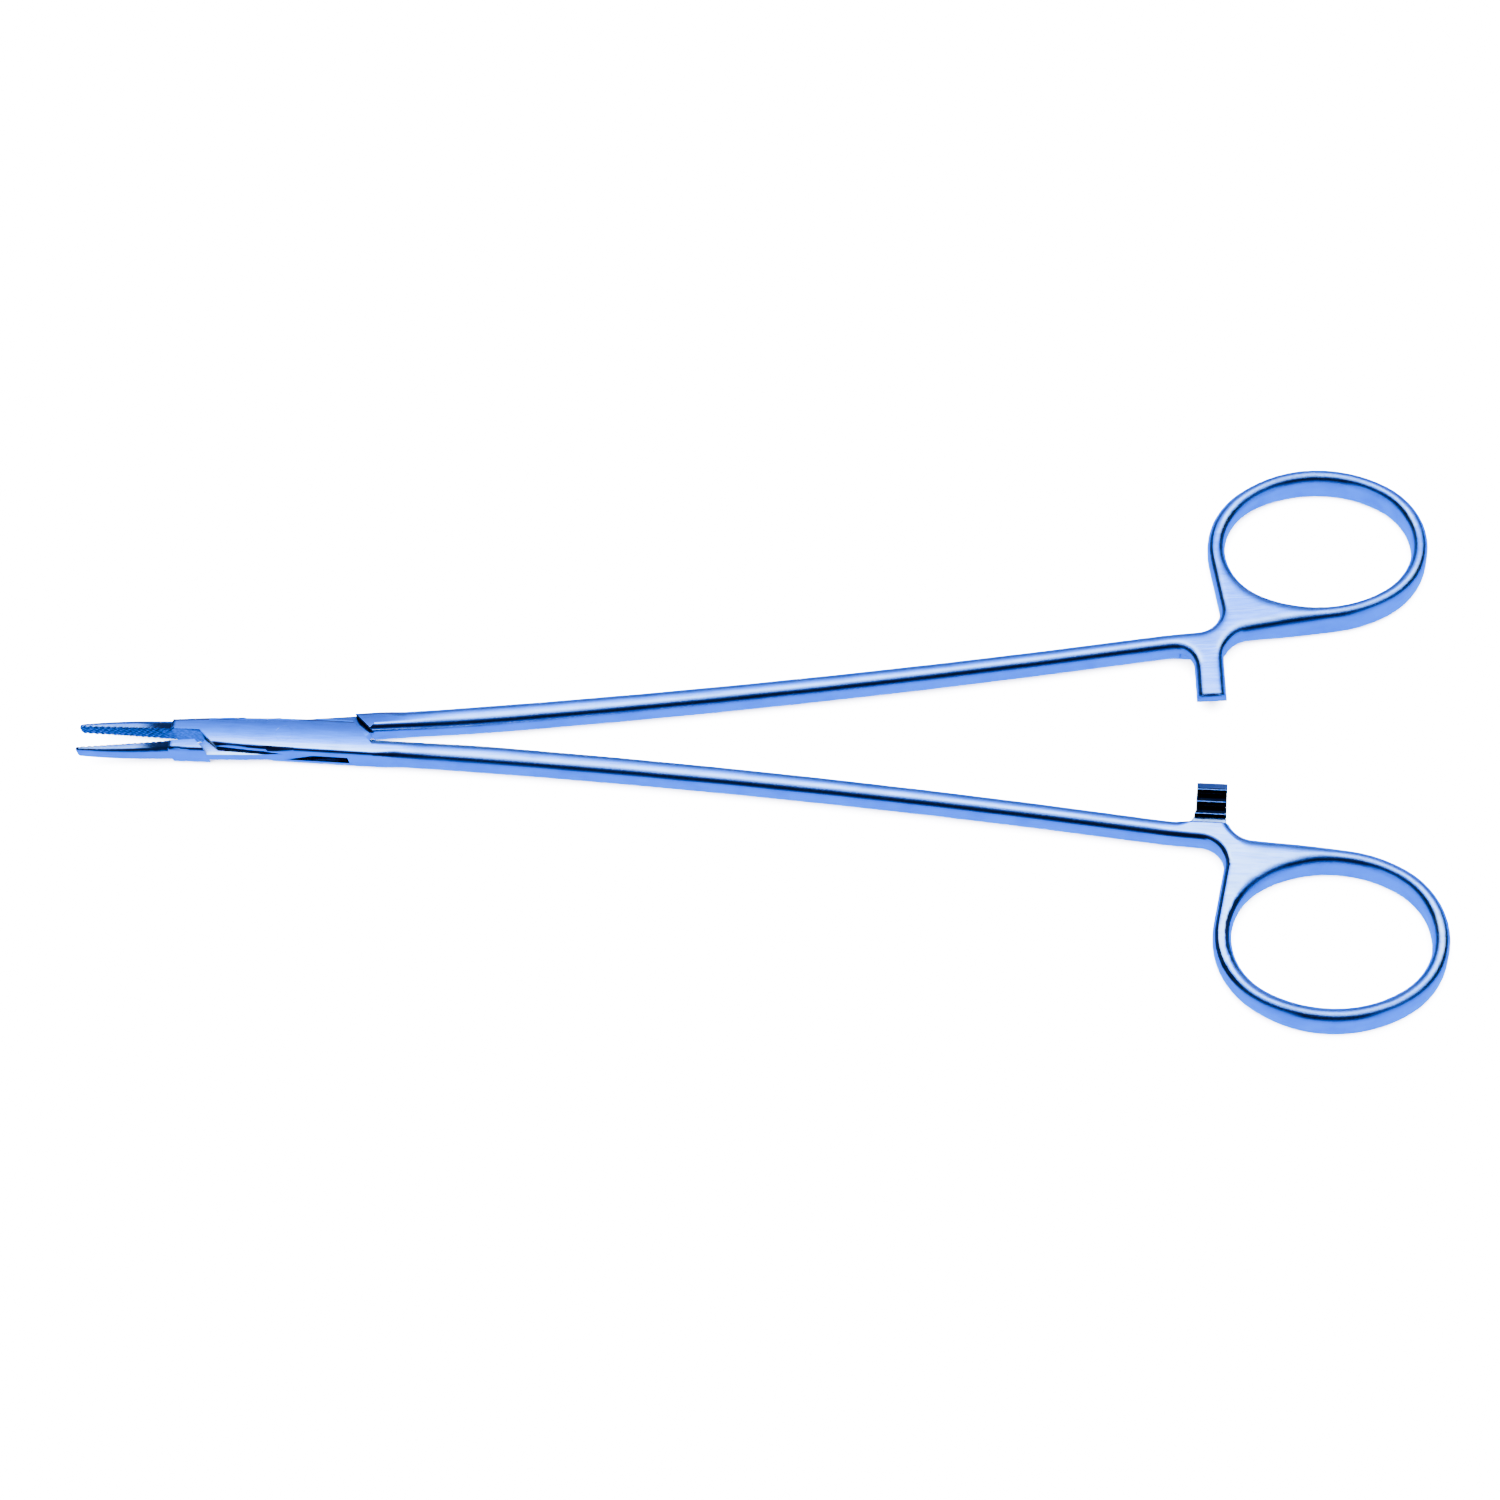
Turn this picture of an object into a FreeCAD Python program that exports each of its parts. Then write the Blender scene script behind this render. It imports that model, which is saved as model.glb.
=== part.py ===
import FreeCAD, Part
import math
import os
from FreeCAD import Vector

# Surgical needle holder with a box lock, finger rings and a ratchet, in millimetres.
# It lies flat. +X runs from the pivot to the rings, +Y to the tongue arm's ring, +Z up.
# The origin is on the pivot axis, at the flat underside of the box.
# Both arms are drawn closed, with the jaws shut, and then swung apart about the pivot.

# How far each arm is swung from the closed line
swing_deg = 3.0
# Space left between the two arms' long flats when the jaws are shut
flat_gap = 0.06

# Box lock: two plates of the box arm, with the tongue of the other arm between them
box_thick = 3.9
box_left = -17.5
box_half_root = 1.85
box_front_x = -9.0
box_half_front = 2.55
box_widest_x = 2.0
box_half_pin = 2.95
box_edge_radius = 0.65
tongue_thick = 1.5
tongue_clearance = 0.05

# Slanting edges in the box: where each one crosses the closed line, and its run per rise
heel_line = (12.6, 0.95)
tongue_nose_line = (-12.55, 1.02)
plate_nose_line = (-13.0, -1.17)
front_shoulder_line = (-13.78, -0.85)
back_shoulder_line = (13.3, -0.95)
front_web_line = (-13.05, 0.98)
back_web_line = (13.05, 0.98)
tongue_jaw_relief = 0.25
plate_jaw_relief = 0.06

# Pivot pin, pressed into the plates and ground flush
pin_radius = 1.25
pin_running_clearance = 0.03

# Jaws: depth from the biting face to the back, and height, both falling to the tip
jaw_tip_x = -32.2
jaw_middle_x = -26.0
jaw_root_depth = 1.83
jaw_middle_depth = 1.38
jaw_tip_depth = 0.66
jaw_root_high = 2.95
jaw_tip_high = 1.95
jaw_root_radius = 0.85
jaw_back_radius = 0.45
jaw_tip_radius = 0.5
bite_pitch = 0.95
bite_depth = 0.15
bite_start_x = -31.4
bite_end_x = -18.6

# Shank: a bar of even thickness between long arcs, given by points on each edge
shut_end_x = 22.7
shank_inner_start = (34.0, 0.25)
shank_inner_end = (126.0, 6.78)
bar_root_inner = (135.0, 7.46)
shank_outer_start = (24.0, 3.35)
shank_outer_end = (127.0, 9.72)
neck_outer = (139.5, 10.25)
shank_high = 3.6
shank_start_x = 14.0
shank_round_x = 18.5
shank_edge_radius = 1.1

# Finger ring: an oval of four arcs, turned a little against the closed line.
# The end arcs' radius is a share of the inner half width, the rounding a share of the band.
ring_x = 152.67
ring_y = 23.99
ring_inner_long = 13.5
ring_inner_wide = 10.88
ring_end_share = 0.89614
ring_inner_shift = 0.15
ring_band = 2.4
ring_round_share = 0.47
ring_turn_deg = -3.0
ring_high = 4.8

# Web where shank, ring and ratchet bar meet, rising to the height of the ring
rise_start_x = 138.9
rise_end_x = 151.7
neck_foot_x = 138.55
neck_foot_y = 9.0
neck_radius = 3.6
web_corner_y = 9.25
web_corner_radius = 4.2

# Ratchet bars with sawteeth on the faces that meet
bar_left = 133.7
bar_right = 137.95
bar_root_radius = 2.9
tongue_bar_end = -1.15
box_bar_end = 0.05
tooth_pitch = 1.95
tooth_depth = 0.8
tooth_crest = 0.28
tooth_lead = 1.39
tooth_steep = 0.1
tooth_count = 3
tooth_wall_y = 7.4
tooth_reach_left = 2.0
tooth_reach_right = 1.4

middle_z = box_thick / 2
# Sizes of the cutting solids, and how near two places count as the same
reach_wide = 60.0
reach_high = 8.0
same_place = 0.01
upright_share = 0.7


def flat(x, y, z=0.0):
    return Vector(x, y, z)


def onward(start, heading, finish):
    # Arc that leaves its start along a heading and ends at the finish
    chord = finish - start
    angle = math.atan2(chord.y, chord.x) - math.atan2(heading.y, heading.x)
    bulge = flat(chord.y, -chord.x) * (math.tan(angle / 2) / 2)
    return Part.ArcOfCircle(start, start + chord * 0.5 + bulge, finish)


def easedStep(low, high):
    # Two arcs that lead from one level to another
    middle = (low + high) * 0.5
    first = onward(low, flat(1, 0), middle)
    return [first, onward(middle, headingAt(first), high)]


def headingAt(arc):
    return arc.tangent(arc.LastParameter)[0]


def arcAbout(centre, radius, start, finish):
    # The shorter arc about a centre between two of its points
    middle = centre + (start + finish - centre * 2).normalize() * radius
    return Part.ArcOfCircle(start, middle, finish)


def crossing(arc, a, b):
    # Where the full circle of an arc meets the straight line from a to b
    circle = Part.Circle(arc.Center, flat(0, 0, 1), arc.Radius)
    found = circle.intersectCC(Part.LineSegment(a, b))[0]
    return flat(found.X, found.Y)


def tangentPoint(centre, radius, place, side):
    # Point of a circle whose tangent runs through a place; side 1 is left, -1 is right
    reach = centre - place
    length = math.sqrt(reach.Length ** 2 - radius ** 2)
    heading = math.atan2(reach.y, reach.x) + side * math.asin(radius / reach.Length)
    return place + flat(math.cos(heading), math.sin(heading)) * length


def onLine(line, y):
    # Point of a slanting edge at a distance from the closed line
    return flat(line[0] + line[1] * y, y)


def faceFrom(edges):
    return Part.Face(Part.Wire(Part.__sortEdges__(edges)))


def polygonFace(places):
    points = [flat(*place) for place in places]
    return Part.Face(Part.makePolygon(points + points[:1]))


def prism(face, low, high):
    base = face.copy()
    base.translate(flat(0, 0, low))
    return base.extrude(flat(0, 0, high - low))


def uprightEdges(solid, spot):
    # Long edges along Z that stand on a place of the plan
    found = []
    for edge in solid.Edges:
        low, high = edge.Vertexes[0].Point, edge.Vertexes[-1].Point
        stands = abs(high.z - low.z) > reach_high
        if stands and math.hypot(low.x - spot.x, low.y - spot.y) < same_place:
            found.append(edge)
    return found


def ringPlace(along, across):
    # A place in the ring's own directions, from its middle
    turn = math.radians(ring_turn_deg)
    return flat(
        ring_x + along * math.cos(turn) - across * math.sin(turn),
        ring_y + along * math.sin(turn) + across * math.cos(turn),
    )


def ovalArcs(grown, shift):
    # Centres and radii of the right end, far side, left end and near side
    half_long = ring_inner_long + grown
    half_wide = ring_inner_wide + grown
    end_radius = ring_inner_wide * ring_end_share + grown
    end_offset = half_long - end_radius
    side_radius = (end_offset ** 2 + half_wide ** 2 - end_radius ** 2) / (2 * (half_wide - end_radius))
    side_offset = side_radius - half_wide
    return [
        (ringPlace(shift + end_offset, 0), end_radius),
        (ringPlace(shift, -side_offset), side_radius),
        (ringPlace(shift - end_offset, 0), end_radius),
        (ringPlace(shift, side_offset), side_radius),
    ]


def ovalJoins(arcs):
    # Points where each arc of the oval passes into the next one
    joins = []
    for arc, following in zip(arcs, arcs[1:] + arcs[:1]):
        (small_centre, _), (centre, radius) = sorted((arc, following), key=lambda pair: pair[1])
        joins.append(centre + (small_centre - centre).normalize() * radius)
    return joins


def planOutline(bar_end):
    # Box, shank, neck, ring and ratchet bar as one closed line, seen from above
    box_side = Part.ArcOfCircle(
        flat(box_left, box_half_root),
        flat(box_front_x, box_half_front),
        flat(box_widest_x, box_half_pin),
    )
    box_back = onward(box_side.EndPoint, headingAt(box_side), flat(*shank_outer_start))
    outer = onward(box_back.EndPoint, headingAt(box_back), flat(*shank_outer_end))
    neck = onward(outer.EndPoint, headingAt(outer), flat(*neck_outer))
    shut_end = flat(shut_end_x, flat_gap / 2)
    parting = onward(shut_end, flat(1, 0), flat(*shank_inner_start))
    inner = onward(parting.EndPoint, headingAt(parting), flat(*shank_inner_end))
    bar_inner = onward(inner.EndPoint, headingAt(inner), flat(*bar_root_inner))

    arcs = ovalArcs(ring_band, 0)
    joins = ovalJoins(arcs)
    neck_foot = flat(neck_foot_x, neck_foot_y)
    web_corner = flat(bar_right, web_corner_y)
    neck_top = tangentPoint(*arcs[2], neck_foot, 1)
    web_end = tangentPoint(*arcs[3], web_corner, -1)
    neck_corner = crossing(neck, neck_foot, neck_top)
    bar_root = crossing(bar_inner, flat(bar_left, 0), flat(bar_left, ring_y))

    low_side = Part.ArcOfCircle(
        flat(box_left, -box_half_root),
        flat(box_front_x, -box_half_front),
        flat(box_widest_x, -box_half_pin),
    )
    heel_low = crossing(low_side, onLine(heel_line, 0), onLine(heel_line, -reach_high))
    heel_top = onLine(heel_line, flat_gap / 2)
    curves = [
        box_side,
        box_back,
        outer,
        arcAbout(neck.Center, neck.Radius, neck.StartPoint, neck_corner),
        Part.LineSegment(neck_corner, neck_top),
        arcAbout(*arcs[2], neck_top, joins[1]),
        arcAbout(*arcs[1], joins[1], joins[0]),
        arcAbout(*arcs[0], joins[0], joins[3]),
        arcAbout(*arcs[3], joins[3], web_end),
        Part.LineSegment(web_end, web_corner),
        Part.LineSegment(web_corner, flat(bar_right, bar_end)),
        Part.LineSegment(flat(bar_right, bar_end), flat(bar_left, bar_end)),
        Part.LineSegment(flat(bar_left, bar_end), bar_root),
        arcAbout(bar_inner.Center, bar_inner.Radius, bar_root, bar_inner.StartPoint),
        inner,
        parting,
        Part.LineSegment(shut_end, heel_top),
        Part.LineSegment(heel_top, heel_low),
        arcAbout(low_side.Center, low_side.Radius, heel_low, flat(box_left, -box_half_root)),
        Part.LineSegment(flat(box_left, -box_half_root), flat(box_left, box_half_root)),
    ]
    outline = faceFrom([curve.toShape() for curve in curves])
    corners = [(neck_corner, neck_radius), (bar_root, bar_root_radius), (web_corner, web_corner_radius)]
    return outline, corners


def ringHole():
    arcs = ovalArcs(0, ring_inner_shift)
    joins = ovalJoins(arcs)
    edges = [arcAbout(*arc, joins[place - 1], joins[place]).toShape() for place, arc in enumerate(arcs)]
    return prism(faceFrom(edges), -reach_high, reach_high)


def sideSlab(curves, x_low, x_high):
    # Solid seen from the side as a band between a top line and its mirror image
    tops = [curve.toShape() for curve in curves]
    undersides = [edge.mirror(flat(0, 0), flat(0, 1)) for edge in tops]
    ends = []
    for x, place in ((x_low, curves[0].StartPoint), (x_high, curves[-1].EndPoint)):
        ends.append(Part.makeLine(flat(x, -place.y), flat(x, place.y)))
    band = faceFrom(tops + undersides + ends)
    band.rotate(flat(0, 0), flat(1, 0), 90)
    band.translate(flat(0, reach_wide, 0))
    return band.extrude(flat(0, -2 * reach_wide, 0))


def faceLooksUp(face):
    low_u, high_u, low_v, high_v = face.ParameterRange
    normal = face.normalAt((low_u + high_u) / 2, (low_v + high_v) / 2)
    return abs(normal.z) > upright_share


def rimEdges(solid):
    # Edges between a top or bottom face and a side wall, with their numbers
    rims = []
    for number, edge in enumerate(solid.Edges, start=1):
        faces = solid.ancestorsOfType(edge, Part.Face)
        if len(faces) == 2 and faceLooksUp(faces[0]) != faceLooksUp(faces[1]):
            rims.append((number, edge))
    return rims


def roundedRims(solid, radiusAt):
    # Rounds the rims with a radius that may change along an edge; those edges lead their chains
    chosen = []
    for number, edge in rimEdges(solid):
        first, last = edge.FirstParameter, edge.LastParameter
        middle = edge.valueAt((first + last) / 2)
        if radiusAt(middle, middle) > 0:
            radii = [radiusAt(edge.valueAt(parameter), middle) for parameter in (first, last)]
            chosen.append((number, *radii))
    chosen.sort(key=lambda rim: abs(rim[1] - rim[2]), reverse=True)
    document = FreeCAD.newDocument("rounding")
    base = document.addObject("Part::Feature", "base")
    base.Shape = solid
    rounded = document.addObject("Part::Fillet", "rounded")
    rounded.Base = base
    rounded.Edges = chosen
    document.recompute()
    shape = rounded.Shape.copy()
    FreeCAD.closeDocument(document.Name)
    return shape.Solids[0]


def blend(x, start, finish, low, high):
    # A size that grows evenly between two places
    share = min(max((x - start) / (finish - start), 0.0), 1.0)
    return low + (high - low) * share


def armRadius(place, middle):
    # Rim radius of the arm: small on the box, larger on shank, web and ring
    is_heel = abs(onLine(heel_line, middle.y).x - middle.x) < same_place
    is_bar_end = min(abs(middle.y - tongue_bar_end), abs(middle.y - box_bar_end)) < same_place
    if middle.x < box_left + same_place or is_heel or is_bar_end:
        return 0.0
    round_radius = min(shank_edge_radius, ring_band * ring_round_share)
    if middle.y < 0 and middle.x < heel_line[0]:
        return box_edge_radius
    if middle.y < box_half_root and middle.x < shank_outer_end[0]:
        return round_radius
    return blend(place.x, shank_start_x, shank_round_x, box_edge_radius, round_radius)


def armBlank(bar_end):
    # One arm without jaw, lock and teeth, about the middle plane
    outline, corners = planOutline(bar_end)
    blank = prism(outline, -reach_high, reach_high)
    for corner, radius in corners:
        blank = blank.makeFillet(radius, uprightEdges(blank, corner))
    blank = blank.cut(ringHole())
    far_x = ring_x + ring_inner_long + 2 * ring_band
    level_x = 2 * shank_round_x - shank_start_x
    shank_line = [flat(x, shank_high / 2) for x in (level_x, rise_start_x)]
    tops = [Part.LineSegment(flat(box_left - 1, box_thick / 2), flat(shank_start_x, box_thick / 2))]
    tops += easedStep(tops[-1].EndPoint, shank_line[0])
    tops.append(Part.LineSegment(*shank_line))
    tops += easedStep(shank_line[-1], flat(rise_end_x, ring_high / 2))
    tops.append(Part.LineSegment(tops[-1].EndPoint, flat(far_x, ring_high / 2)))
    blank = blank.common(sideSlab(tops, box_left - 1, far_x)).Solids[0]
    return roundedRims(blank, armRadius)


def jaw():
    # Jaw of the tongue arm, with its biting face just below the closed line
    bite = -flat_gap / 2
    root = flat(box_left, -jaw_root_depth)
    tip = flat(jaw_tip_x, -jaw_tip_depth)
    outline = faceFrom([
        Part.ArcOfCircle(root, flat(jaw_middle_x, -jaw_middle_depth), tip).toShape(),
        Part.makeLine(tip, flat(tip.x, bite)),
        Part.makeLine(flat(tip.x, bite), flat(root.x, bite)),
        Part.makeLine(flat(root.x, bite), root),
    ])
    solid = prism(outline, -reach_high, reach_high)
    solid = solid.makeFillet(jaw_tip_radius, uprightEdges(solid, tip))
    top = Part.LineSegment(flat(tip.x, jaw_tip_high / 2), flat(root.x, jaw_root_high / 2))
    solid = solid.common(sideSlab([top], tip.x, root.x)).Solids[0]

    def jawRadius(place, middle):
        on_bite = abs(middle.y - bite) < same_place
        if on_bite or middle.x > root.x - same_place:
            return 0.0
        return blend(place.x, tip.x + jaw_tip_radius, root.x, jaw_back_radius, jaw_root_radius)

    return roundedRims(solid, jawRadius)


def biteGrooves():
    # Two crossing rows of small V grooves over the biting face
    bite = -flat_gap / 2
    half_long = jaw_root_high
    grooves = []
    for lean in (45, -45):
        x = bite_start_x
        while x < bite_end_x:
            section = Part.makePolygon([
                flat(-bite_depth, bite + 0.001, -half_long),
                flat(bite_depth, bite + 0.001, -half_long),
                flat(0, bite - bite_depth, -half_long),
                flat(-bite_depth, bite + 0.001, -half_long),
            ])
            groove = Part.Face(section).extrude(flat(0, 0, 2 * half_long))
            groove.rotate(flat(0, 0), flat(0, 1), lean)
            groove.translate(flat(x, 0))
            grooves.append(groove)
            x += bite_pitch
    return grooves


def toothGap(bar_end):
    # Everything below the sawtooth line of a bar whose teeth look down
    ramp_start = tooth_depth * tooth_lead / tooth_pitch - tooth_crest
    gullet = tooth_depth - tooth_crest
    clear_y = bar_end - tooth_pitch
    line = [(clear_y, ramp_start), (bar_end, ramp_start)]
    for tooth in range(tooth_count):
        crest_y = bar_end + tooth_lead + tooth * tooth_pitch
        line.append((crest_y, -tooth_crest))
        line.append((crest_y + tooth_steep, gullet))
    line += [(tooth_wall_y, gullet), (tooth_wall_y, -reach_high), (clear_y, -reach_high)]
    points = [Vector(bar_left - tooth_reach_left, y, z) for y, z in line]
    face = Part.Face(Part.makePolygon(points + points[:1]))
    return face.extrude(flat(bar_right - bar_left + tooth_reach_left + tooth_reach_right, 0))


def turnedOver(shape):
    # Half a turn about the closed line gives the other arm's side
    copy = shape.copy()
    copy.rotate(flat(0, 0), flat(1, 0), 180)
    return copy


def placed(shape, swing):
    # Swings an arm about the pivot and sets the underside of the box at height zero
    copy = shape.copy()
    copy.rotate(flat(0, 0), flat(0, 0, 1), swing)
    copy.translate(flat(0, 0, middle_z))
    return copy


def pinHole(radius):
    return Part.makeCylinder(radius, 2 * reach_high, flat(0, 0, -reach_high))


def tongueArm():
    arm = armBlank(tongue_bar_end).fuse(jaw())
    nose = polygonFace([
        (box_left - 2, -tongue_jaw_relief),
        tuple(onLine(tongue_nose_line, -tongue_jaw_relief))[:2],
        tuple(onLine(tongue_nose_line, reach_high))[:2],
        (box_left - 2, reach_high),
    ])
    jaw_corner = flat(jaw_tip_x - 2, -reach_high / 2, -reach_high)
    jaw_side = Part.makeBox(box_left - jaw_tip_x + 2, reach_high, 2 * reach_high, jaw_corner)
    arm = arm.cut(prism(nose, -reach_high, reach_high).cut(jaw_side))
    thin = polygonFace([
        tuple(onLine(front_shoulder_line, reach_high))[:2],
        tuple(onLine(front_shoulder_line, -reach_high))[:2],
        tuple(onLine(back_shoulder_line, -reach_high))[:2],
        tuple(onLine(back_shoulder_line, reach_high))[:2],
    ])
    half = tongue_thick / 2
    arm = arm.cut([prism(thin, half, reach_high), prism(thin, -reach_high, -half)])
    arm = arm.cut([pinHole(pin_radius + pin_running_clearance), toothGap(tongue_bar_end)])
    return arm.cut(biteGrooves())


def boxArm():
    arm = turnedOver(armBlank(box_bar_end).fuse(jaw()))
    nose = polygonFace([
        (box_left - 2, plate_jaw_relief),
        tuple(onLine(plate_nose_line, plate_jaw_relief))[:2],
        tuple(onLine(plate_nose_line, -reach_high))[:2],
        (box_left - 2, -reach_high),
    ])
    slot = polygonFace([
        tuple(onLine(front_web_line, reach_high))[:2],
        tuple(onLine(front_web_line, 0))[:2],
        (front_web_line[0] - 1, -reach_high),
        tuple(onLine(back_web_line, -reach_high))[:2],
        tuple(onLine(back_web_line, 0))[:2],
        (back_web_line[0] + 1, reach_high),
    ])
    half = tongue_thick / 2 + tongue_clearance
    arm = arm.cut([prism(nose, -reach_high, reach_high), prism(slot, -half, half)])
    arm = arm.cut([pinHole(pin_radius), turnedOver(toothGap(box_bar_end))])
    return arm.cut([turnedOver(groove) for groove in biteGrooves()])


def pivotPin():
    return Part.makeCylinder(pin_radius, box_thick, flat(0, 0, -box_thick / 2))


os.makedirs("parts", exist_ok=True)
solids = {
    "box_arm": placed(boxArm(), -swing_deg),
    "tongue_arm": placed(tongueArm(), swing_deg),
    "pivot_pin": placed(pivotPin(), 0),
}
for name, shape in solids.items():
    shape.Solids[0].exportStep(os.path.join("parts", name + ".step"))
    print(name, len(shape.Solids), shape.isValid(), round(shape.Volume, 1))
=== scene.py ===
import bpy
import math
from mathutils import Matrix, Vector


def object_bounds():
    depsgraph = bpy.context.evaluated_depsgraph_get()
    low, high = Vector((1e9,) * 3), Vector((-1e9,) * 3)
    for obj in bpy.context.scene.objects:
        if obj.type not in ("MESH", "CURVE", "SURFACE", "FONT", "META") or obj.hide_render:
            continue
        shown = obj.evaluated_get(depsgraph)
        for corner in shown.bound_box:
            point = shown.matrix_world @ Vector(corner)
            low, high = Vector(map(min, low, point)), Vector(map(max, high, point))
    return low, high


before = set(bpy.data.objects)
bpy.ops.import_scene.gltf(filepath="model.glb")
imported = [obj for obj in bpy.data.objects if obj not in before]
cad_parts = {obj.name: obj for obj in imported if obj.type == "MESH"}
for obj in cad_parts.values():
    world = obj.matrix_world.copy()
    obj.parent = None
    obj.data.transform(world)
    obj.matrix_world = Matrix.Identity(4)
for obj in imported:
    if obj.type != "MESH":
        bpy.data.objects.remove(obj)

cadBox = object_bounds()
mm = 0.001


def hexColour(code):
    # sRGB hex to linear colour
    channels = [int(code[i:i + 2], 16) / 255 for i in (1, 3, 5)]
    linear = [c / 12.92 if c <= 0.04045 else ((c + 0.055) / 1.055) ** 2.4 for c in channels]
    return (*linear, 1.0)


def grey(value):
    # A plain number as a colour, for masks and shades
    return (value, value, value, 1.0)


def addNode(tree, kind, settings=None, links=None):
    # Settings go to the stops of a ramp, to sockets by name or number, or to properties
    # A link comes from a socket, or from the first output of a node
    node = tree.nodes.new(kind)
    for name, value in (settings or {}).items():
        if name == "stops":
            elements = node.color_ramp.elements
            for place, colour in value[2:]:
                elements.new(place)
            for element, (place, colour) in zip(elements, value):
                element.position = place
                element.color = colour
        elif isinstance(name, int) or name in node.inputs:
            node.inputs[name].default_value = value
        else:
            setattr(node, name, value)
    for name, source in (links or {}).items():
        socket = source.outputs[0] if isinstance(source, bpy.types.Node) else source
        tree.links.new(socket, node.inputs[name])
    return node


# Camera, solved from the photograph
cameraSetup = {
    "target": (69.14, -0.7, 0.0),     # mm
    "distance": 430.5,                # mm
    "azimuth": 15.011,                # degrees towards +X from straight in front
    "elevation": 59.0,
    "roll": 13.0,
    "lens": 70.9,                     # mm
    "sensor": 36.0,                   # mm
    "clip": (0.01, 20.0),             # m
}


def makeCamera(setup):
    azimuth, elevation, roll = (math.radians(setup[key]) for key in ("azimuth", "elevation", "roll"))
    right = Vector((math.cos(azimuth), math.sin(azimuth), 0))
    level = Vector((-math.sin(azimuth), math.cos(azimuth), 0))
    look = level * math.cos(elevation) - Vector((0, 0, math.sin(elevation)))
    up = right.cross(look)
    turnedRight = right * math.cos(roll) - up * math.sin(roll)
    turnedUp = right * math.sin(roll) + up * math.cos(roll)
    data = bpy.data.cameras.new("camera")
    data.lens = setup["lens"]
    data.sensor_width = setup["sensor"]
    data.clip_start, data.clip_end = setup["clip"]
    camera = bpy.data.objects.new("camera", data)
    bpy.context.collection.objects.link(camera)
    place = (Vector(setup["target"]) - look * setup["distance"]) * mm
    turn = Matrix((turnedRight, turnedUp, -look)).transposed().to_4x4()
    camera.matrix_world = Matrix.Translation(place) @ turn
    bpy.context.scene.camera = camera


makeCamera(cameraSetup)
print("camera placed")

# Table under the rings, matt white card with no shine of its own. It is white to the camera, and to the
# metal it glows one deep blue tone: a painted reflection that the walls of the metal show
tableSetup = {
    "size": 6.0,                    # m
    "colour": "#fbfbfb",
    "roughness": 0.9,
    "mirrored": "#0065ff",          # what the walls of the metal reflect
    "mirroredStrength": 4.0,
}


def makeTable(setup):
    bpy.ops.object.select_all(action="DESELECT")
    bpy.ops.mesh.primitive_plane_add(size=setup["size"], location=(0, 0, 0))
    table = bpy.context.object
    table.name = "table"
    for vertex in table.data.vertices:
        vertex.co.z = cadBox[0].z
    material = bpy.data.materials.new("matt_white_card")
    material.use_nodes = True
    tree = material.node_tree
    card = tree.nodes["Principled BSDF"]
    card.inputs["Base Color"].default_value = hexColour(setup["colour"])
    card.inputs["Roughness"].default_value = setup["roughness"]
    card.inputs["Specular IOR Level"].default_value = 0.0
    # Painted reflection: to every ray but the camera's the table glows this blue
    mirrored = addNode(tree, "ShaderNodeEmission", {
        "Color": hexColour(setup["mirrored"]),
        "Strength": setup["mirroredStrength"],
    })
    path = addNode(tree, "ShaderNodeLightPath")
    mix = addNode(tree, "ShaderNodeMixShader", links={
        0: path.outputs["Is Camera Ray"],
        1: mirrored,
        2: card,
    })
    tree.links.new(mix.outputs["Shader"], tree.nodes["Material Output"].inputs["Surface"])
    table.data.materials.append(material)


makeTable(tableSetup)
print("table laid")

# One wide soft lamp for the white ground; the metal sees only the room around it
lampSetup = {
    "place": (0.068, 0.0, 1.0),     # m, over the middle of the arms
    "size": 1.6,                    # m
    "radiance": 60.0,
    "colour": "#ffffff",
}


def makeLamp(setup):
    data = bpy.data.lights.new("overhead", "AREA")
    data.shape = "SQUARE"
    data.size = setup["size"]
    data.color = hexColour(setup["colour"])[:3]
    data.energy = setup["radiance"] * math.pi * setup["size"] ** 2
    lamp = bpy.data.objects.new("overhead", data)
    bpy.context.collection.objects.link(lamp)
    lamp.location = setup["place"]
    lamp.visible_glossy = False
    lamp.visible_camera = False


makeLamp(lampSetup)

# Room seen by the metal: a bright blue strip on the ceiling, dark on the side of the camera
roomSetup = {
    "strength": 11.0,
    # lean from straight up towards +Y in degrees, colour seen there
    "middle": [
        (-180, "#0a276c"),
        (-100, "#0d3081"),
        (-80, "#0a276c"),
        (-66, "#030412"),
        (-35, "#010207"),
        (-20, "#02030e"),
        (-12, "#06091d"),
        (-5, "#0d142f"),
        (0, "#14244a"),
        (12, "#0b3e99"),
        (20, "#4b89e7"),
        (25, "#add4ff"),
        (31, "#4d81ef"),
        (36, "#1059cb"),
        (42, "#0a3f9e"),
        (48, "#102e79"),
        (60, "#142757"),
        (75, "#121d3f"),
        (95, "#0d1d45"),
        (180, "#0a276c"),
    ],
    # the same towards both ends of the room, where there is no strip
    "ends": [
        (-180, "#0a276c"),
        (-110, "#08378f"),
        (-58, "#08378f"),
        (-43, "#030516"),
        (0, "#020512"),
        (60, "#060b21"),
        (80, "#0d1d45"),
        (180, "#0a276c"),
    ],
    # share of the direction towards +X, share of the ends in what is seen
    "endShares": [(-1.0, 1.0), (-0.52, 1.0), (-0.3, 0.0), (0.36, 0.0), (0.55, 1.0), (1.0, 1.0)],
}


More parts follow.
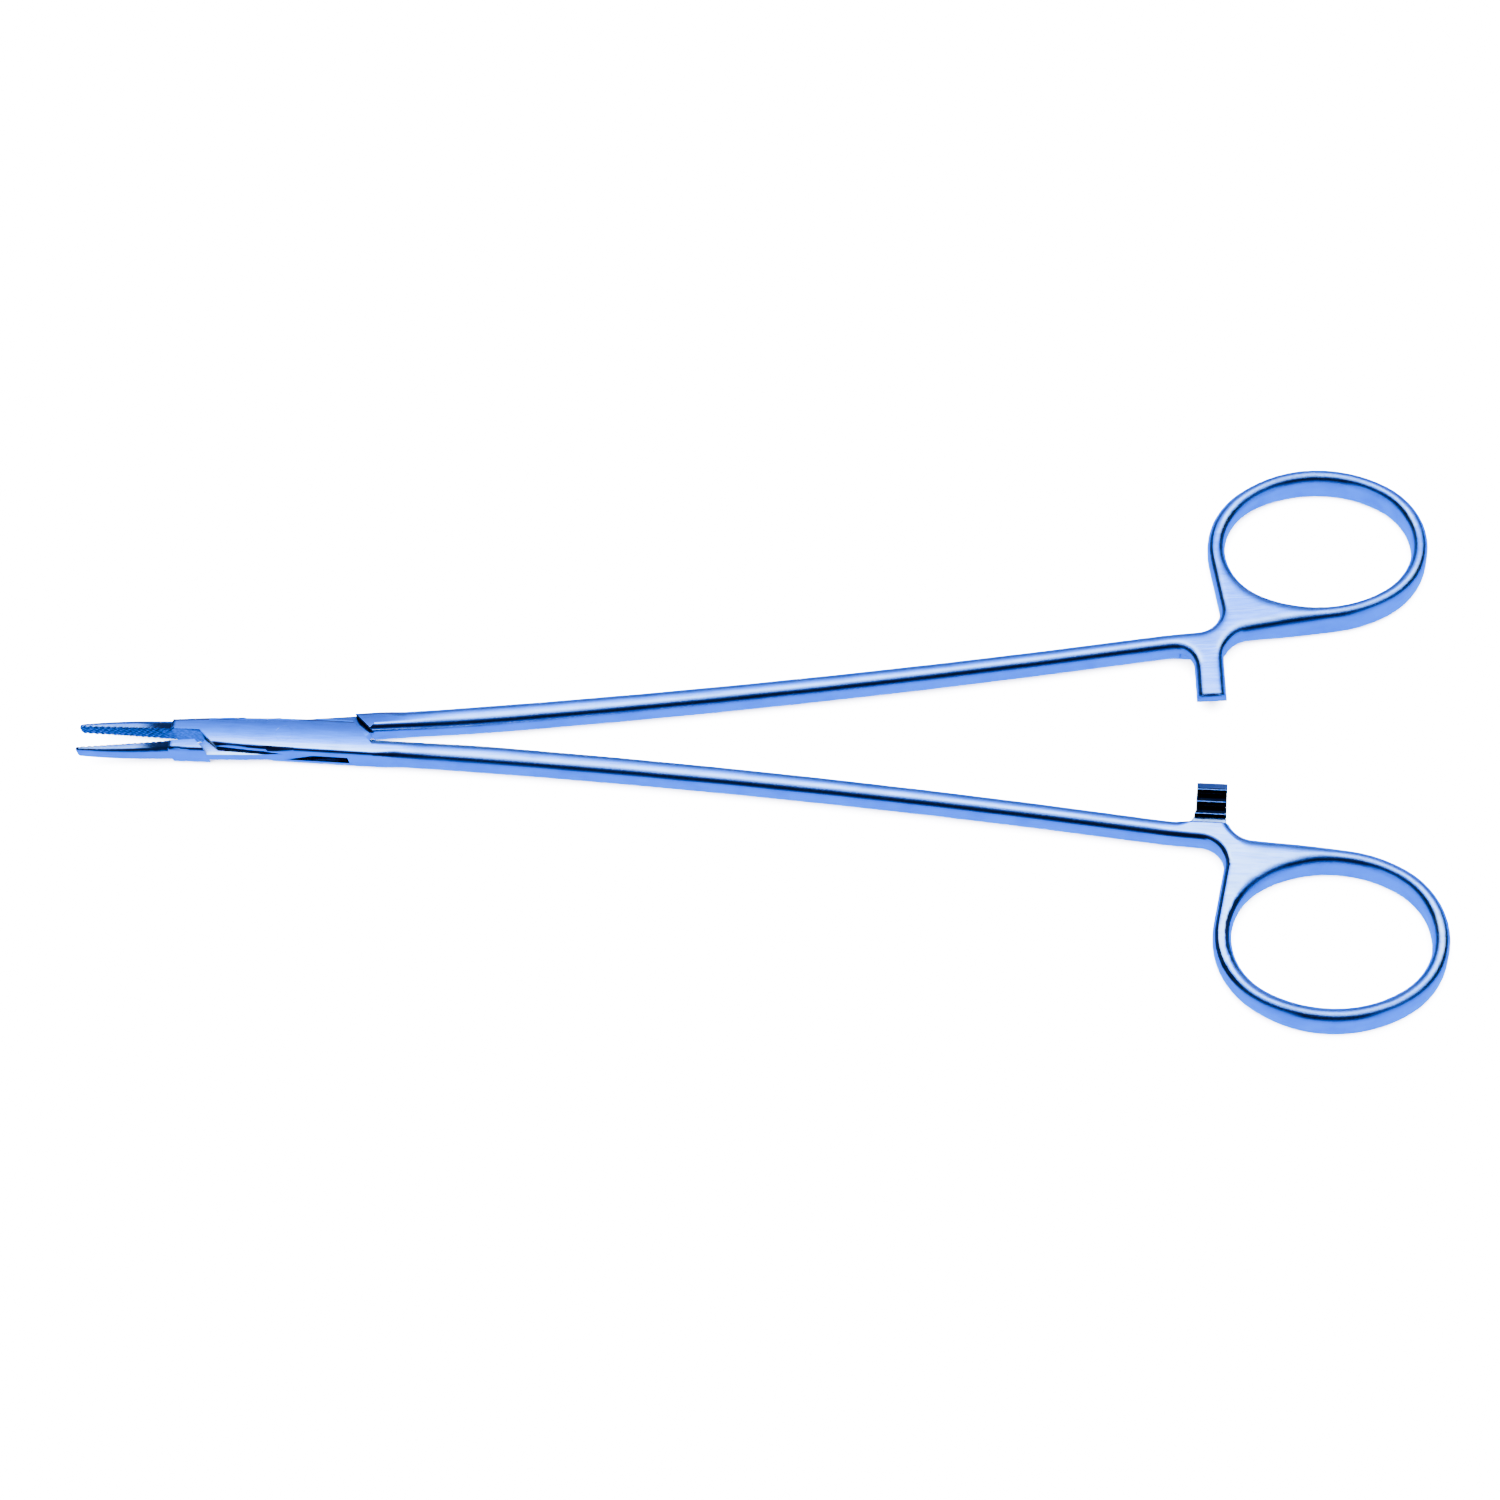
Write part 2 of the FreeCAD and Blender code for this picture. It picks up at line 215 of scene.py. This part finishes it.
def makeRoom(setup):
    world = bpy.data.worlds.new("room")
    bpy.context.scene.world = world
    world.use_nodes = True
    tree = world.node_tree
    coordinates = addNode(tree, "ShaderNodeTexCoord")
    split = addNode(tree, "ShaderNodeSeparateXYZ", links={"Vector": coordinates.outputs["Generated"]})
    lean = addNode(tree, "ShaderNodeMath", {"operation": "ARCTAN2"}, {
        0: split.outputs["Y"],
        1: split.outputs["Z"],
    })
    # A full turn of lean, from -180 to 180 degrees, becomes 0 to 1
    turned = addNode(tree, "ShaderNodeMath", {
        "operation": "MULTIPLY_ADD",
        1: 0.5 / math.pi,
        2: 0.5,
    }, {0: lean})
    middle, ends = [
        addNode(tree, "ShaderNodeValToRGB", {
            "stops": [((degrees + 180) / 360, hexColour(code)) for degrees, code in setup[part]],
        }, {"Fac": turned})
        for part in ("middle", "ends")
    ]
    side = addNode(tree, "ShaderNodeMath", {
        "operation": "MULTIPLY_ADD",
        1: 0.5,
        2: 0.5,
    }, {0: split.outputs["X"]})
    endShare = addNode(tree, "ShaderNodeValToRGB", {
        "stops": [((x + 1) / 2, grey(value)) for x, value in setup["endShares"]],
    }, {"Fac": side})
    seen = addNode(tree, "ShaderNodeMix", {"data_type": "RGBA"}, {0: endShare, 6: middle, 7: ends})
    background = tree.nodes["Background"]
    tree.links.new(seen.outputs[2], background.inputs["Color"])
    background.inputs["Strength"].default_value = setup["strength"]


makeRoom(roomSetup)
print("light made")

# Polished stainless steel, ground along the arms and softly rounded by the polishing wheel: a cold
# grey mirror whose reflections run in long uneven streaks, a little duller where it is handled
steelSetup = {
    # place between the bright and the dull spots, colour there
    "tones": [(0.42, "#c9d3de"), (0.68, "#b3bfcc")],
    "roughness": 0.09,
    "dulled": 0.07,             # more roughness at the dull spots and in the brush lines
    "waveHeight": 0.02,         # mm, height of the polishing waves
    "reach": (-40.0, 180.0),    # mm along the arm, from before the jaw tips to behind the rings
    "jawRounding": 0.39,        # mm, how round the light runs over the edges
    "boxRounding": 0.03,
    "shankRounding": 1.3,
    "ringRounding": 1.755,
    "crownTilt": 4.6,           # degrees, at the middle of the box
    "crownRate": 2.8,           # degrees per mm across the box
    "rootTilt": 17.0,           # degrees, hollow where a jaw leaves the box
    "faceUpPower": 8.0,         # keeps the crown and the hollow to the flat tops
    "ridgeNormals": (0.995, 0.95),                  # upright share of the normal, ridge to slope
    "teethHalf": 3.15,                              # mm, half the length of the toothed stretch
    # painted shade on the sloping tooth faces
    "paintedToothShade": 0.02,                             # a shade is a share of the steel's own colour
    # painted shade over the real grain of the biting face
    "biteGrainAndShades": [(0.35, 0.06), (0.65, 0.42)],     # place in the grain, shade
    # painted shade in the crevices, darkest where they are most closed in
    "paintedCreviceShades": [(0.5, 0.03), (0.85, 1.0)],    # how open the place is, shade
    "creviceReach": 3.0,                            # mm
    # spots per mm along, across and up, detail, fineness. Brush lines are really about 0.03 mm
    # apart and are drawn 0.11 mm apart, so that they show. The dull spots are the size of a dried
    # drop, and the grain of the bite, 0.6 mm, is as coarse as the photograph shows it
    "patterns": {
        "waves": ((0.10, 0.9, 0.9), 3.0, 0.5),
        "lines": ((0.35, 9.0, 9.0), 2.0, 0.7),
        "spots": ((0.22, 0.4, 0.4), 4.0, 0.6),
        "grain": ((1.6, 1.6, 2.2), 3.0, 0.7),
    },
}


def makeSteel(name, setup, arm):
    material = bpy.data.materials.new(name)
    material.use_nodes = True
    tree = material.node_tree
    shader = tree.nodes["Principled BSDF"]

    # Millimetres along, across and up the arm, with its swing turned back
    coordinates = addNode(tree, "ShaderNodeTexCoord")
    millimetres = addNode(tree, "ShaderNodeMapping", {
        "vector_type": "POINT",
        "Scale": (1 / mm, 1 / mm, 1 / mm),
        "Rotation": (0, 0, math.radians(-arm["swing"])),
    }, {"Vector": coordinates.outputs["Object"]})
    split = addNode(tree, "ShaderNodeSeparateXYZ", links={"Vector": millimetres})
    across = split.outputs["Y"]

    patterns = {}
    for part, (stretch, detail, fineness) in setup["patterns"].items():
        stretched = addNode(tree, "ShaderNodeMapping", {"Scale": stretch}, {"Vector": millimetres})
        patterns[part] = addNode(tree, "ShaderNodeTexNoise", {
            "Scale": 1.0,
            "Detail": detail,
            "Roughness": fineness,
        }, {"Vector": stretched})

    # What changes along the arm: place in mm, value there
    first, last = setup["reach"]
    share = addNode(tree, "ShaderNodeMapRange", {
        "From Min": first,
        "From Max": last,
    }, {"Value": split.outputs["X"]})
    profiles = {
        "rounding": [
            (-40, setup["jawRounding"]), (-18, setup["jawRounding"]), (-17.3, setup["boxRounding"]),
            (13.5, setup["boxRounding"]), (22, setup["shankRounding"]), (128, setup["shankRounding"]),
            (130.5, arm["barRounding"]), (139.5, arm["barRounding"]), (141, setup["ringRounding"]),
        ],
        "box": [(-40, 0), (-18, 0), (-17, 1), (14, 1), (24, 0)],
        "root": [(-40, 0), (-23, 0), (-19.4, 0.5), (-18.2, 1), (-17.7, 1), (-17.4, 0)],
        "bite": [(-40, 0.9), (-17.6, 0.9), (-17.3, 0.65), (-10, 0.65), (-9, 0)],
        "teeth": [(-40, 0), (130.4, 0), (130.6, 0.93), (139.6, 0.93), (139.8, 0), (180, 0)],
    }
    along = {}
    for part, places in profiles.items():
        along[part] = addNode(tree, "ShaderNodeValToRGB", {
            "stops": [((x - first) / (last - first), grey(value)) for x, value in places],
        }, {"Fac": share})

    # Polished round on jaws, shank and rings; the box and the ratchet keep their edges
    radius = addNode(tree, "ShaderNodeMath", {"operation": "MULTIPLY", 1: mm}, {0: along["rounding"]})
    softened = addNode(tree, "ShaderNodeBevel", {"samples": 8}, {"Radius": radius})

    # Light rolls over the crowned plate of the box and falls into the hollow at the jaw root
    geometry = addNode(tree, "ShaderNodeNewGeometry")
    normal = addNode(tree, "ShaderNodeSeparateXYZ", links={"Vector": geometry.outputs["Normal"]})
    upright = addNode(tree, "ShaderNodeMath", {"operation": "ABSOLUTE"}, {0: normal.outputs["Z"]})
    faceUp = addNode(tree, "ShaderNodeMath", {
        "operation": "POWER",
        1: setup["faceUpPower"],
    }, {0: upright})
    boxTop = addNode(tree, "ShaderNodeMath", {"operation": "MULTIPLY"}, {0: faceUp, 1: along["box"]})
    rootTop = addNode(tree, "ShaderNodeMath", {"operation": "MULTIPLY"}, {0: faceUp, 1: along["root"]})
    tilt = addNode(tree, "ShaderNodeMath", {
        "operation": "MULTIPLY_ADD",
        1: math.radians(setup["crownRate"]),
        2: math.radians(setup["crownTilt"]),
    }, {0: across})
    crown = addNode(tree, "ShaderNodeMath", {"operation": "MULTIPLY"}, {0: tilt, 1: boxTop})
    hollow = addNode(tree, "ShaderNodeMath", {
        "operation": "MULTIPLY",
        1: -math.radians(setup["rootTilt"]),
    }, {0: rootTop})
    push = addNode(tree, "ShaderNodeCombineXYZ", links={"X": hollow, "Y": crown})
    pushed = addNode(tree, "ShaderNodeVectorMath", {"operation": "ADD"}, {0: softened, 1: push})
    rounded = addNode(tree, "ShaderNodeVectorMath", {"operation": "NORMALIZE"}, {0: pushed})

    # Long polishing waves, so that the reflections run unevenly down the arm
    bump = addNode(tree, "ShaderNodeBump", {
        "Strength": 1.0,
        "Distance": setup["waveHeight"] * mm,
    }, {"Height": patterns["waves"], "Normal": rounded})
    tree.links.new(bump.outputs["Normal"], shader.inputs["Normal"])

    # Fine brush lines and dull spots from handling soften the shine here and there
    both = addNode(tree, "ShaderNodeMath", {"operation": "ADD"}, {
        0: patterns["lines"],
        1: patterns["spots"],
    })
    dull = addNode(tree, "ShaderNodeMath", {"operation": "MULTIPLY", 1: 0.5}, {0: both})
    roughness = addNode(tree, "ShaderNodeMath", {
        "operation": "MULTIPLY_ADD",
        1: setup["dulled"],
        2: setup["roughness"],
    }, {0: dull})
    tree.links.new(roughness.outputs[0], shader.inputs["Roughness"])
    tone = addNode(tree, "ShaderNodeValToRGB", {
        "stops": [(place, hexColour(code)) for place, code in setup["tones"]],
    }, {"Fac": patterns["spots"]})

    # The cut biting face is unpolished and mottled in its grain; its darkness is painted shade,
    # standing in for the shade in its serrations
    facing = addNode(tree, "ShaderNodeMath", {
        "operation": "MULTIPLY",
        1: arm["biteSide"],
    }, {0: normal.outputs["Y"]})
    bite = addNode(tree, "ShaderNodeMath", {"operation": "GREATER_THAN", 1: 0.5}, {0: facing})
    onBite = addNode(tree, "ShaderNodeMath", {"operation": "MULTIPLY"}, {0: bite, 1: along["bite"]})
    biteGrainAndShade = addNode(tree, "ShaderNodeValToRGB", {
        "stops": [(place, grey(shade)) for place, shade in setup["biteGrainAndShades"]],
    }, {"Fac": patterns["grain"]})
    bittenAndShaded = addNode(tree, "ShaderNodeMix", {
        "data_type": "RGBA",
        "blend_type": "MULTIPLY",
    }, {0: onBite, 6: tone, 7: biteGrainAndShade})

    # Painted shade: the sloping faces of the ratchet teeth are darkened by their normal, which leaves
    # their ridges bright
    softNormal = addNode(tree, "ShaderNodeSeparateXYZ", links={"Vector": softened})
    ridge, slope = setup["ridgeNormals"]
    slopeShadeShare = addNode(tree, "ShaderNodeMapRange", {
        "From Min": ridge,
        "From Max": slope,
    }, {"Value": softNormal.outputs["Z"]})
    beside = addNode(tree, "ShaderNodeMath", {
        "operation": "COMPARE",
        1: arm["teethMiddle"],
        2: setup["teethHalf"],
    }, {0: across})
    inTeeth = addNode(tree, "ShaderNodeMath", {"operation": "MULTIPLY"}, {0: beside, 1: along["teeth"]})
    paintedShadeOnTeeth = addNode(tree, "ShaderNodeMath", {"operation": "MULTIPLY"}, {0: slopeShadeShare, 1: inTeeth})
    teethWithPaintedShade = addNode(tree, "ShaderNodeMix", {
        "data_type": "RGBA",
        "blend_type": "MULTIPLY",
        7: grey(setup["paintedToothShade"]),
    }, {0: paintedShadeOnTeeth, 6: bittenAndShaded.outputs[2]})

    # Painted shade: the steel's colour goes black where ambient occlusion finds the crevices of the box
    # closed in
    shut = addNode(tree, "ShaderNodeAmbientOcclusion", {
        "samples": 6,
        "only_local": True,
        "Distance": setup["creviceReach"] * mm,
    })
    paintedCreviceShade = addNode(tree, "ShaderNodeValToRGB", {
        "stops": [(place, grey(shade)) for place, shade in setup["paintedCreviceShades"]],
    }, {"Fac": shut.outputs["AO"]})
    creviceShaded = addNode(tree, "ShaderNodeMix", {
        "data_type": "RGBA",
        "blend_type": "MULTIPLY",
        0: 1.0,
    }, {6: teethWithPaintedShade.outputs[2], 7: paintedCreviceShade})
    tree.links.new(creviceShaded.outputs[2], shader.inputs["Base Color"])
    shader.inputs["Metallic"].default_value = 1.0
    return material


# swing: turn from the closed line in degrees. barRounding: edges of the ratchet bar in mm.
# biteSide: way that the biting face looks across. teethMiddle: mm across, 60 where no teeth show
armSetup = {
    "box_arm": {"swing": -3.0, "barRounding": 0.3, "biteSide": -1.0, "teethMiddle": -4.25},
    "tongue_arm": {"swing": 3.0, "barRounding": 1.4, "biteSide": 1.0, "teethMiddle": 60.0},
    "pivot_pin": {"swing": -3.0, "barRounding": 0.3, "biteSide": 1.0, "teethMiddle": 60.0},
}
for name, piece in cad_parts.items():
    steel = makeSteel("polished_stainless_steel_" + name, steelSetup, armSetup[name])
    for slot in piece.material_slots:
        slot.material = steel
print("steel given")
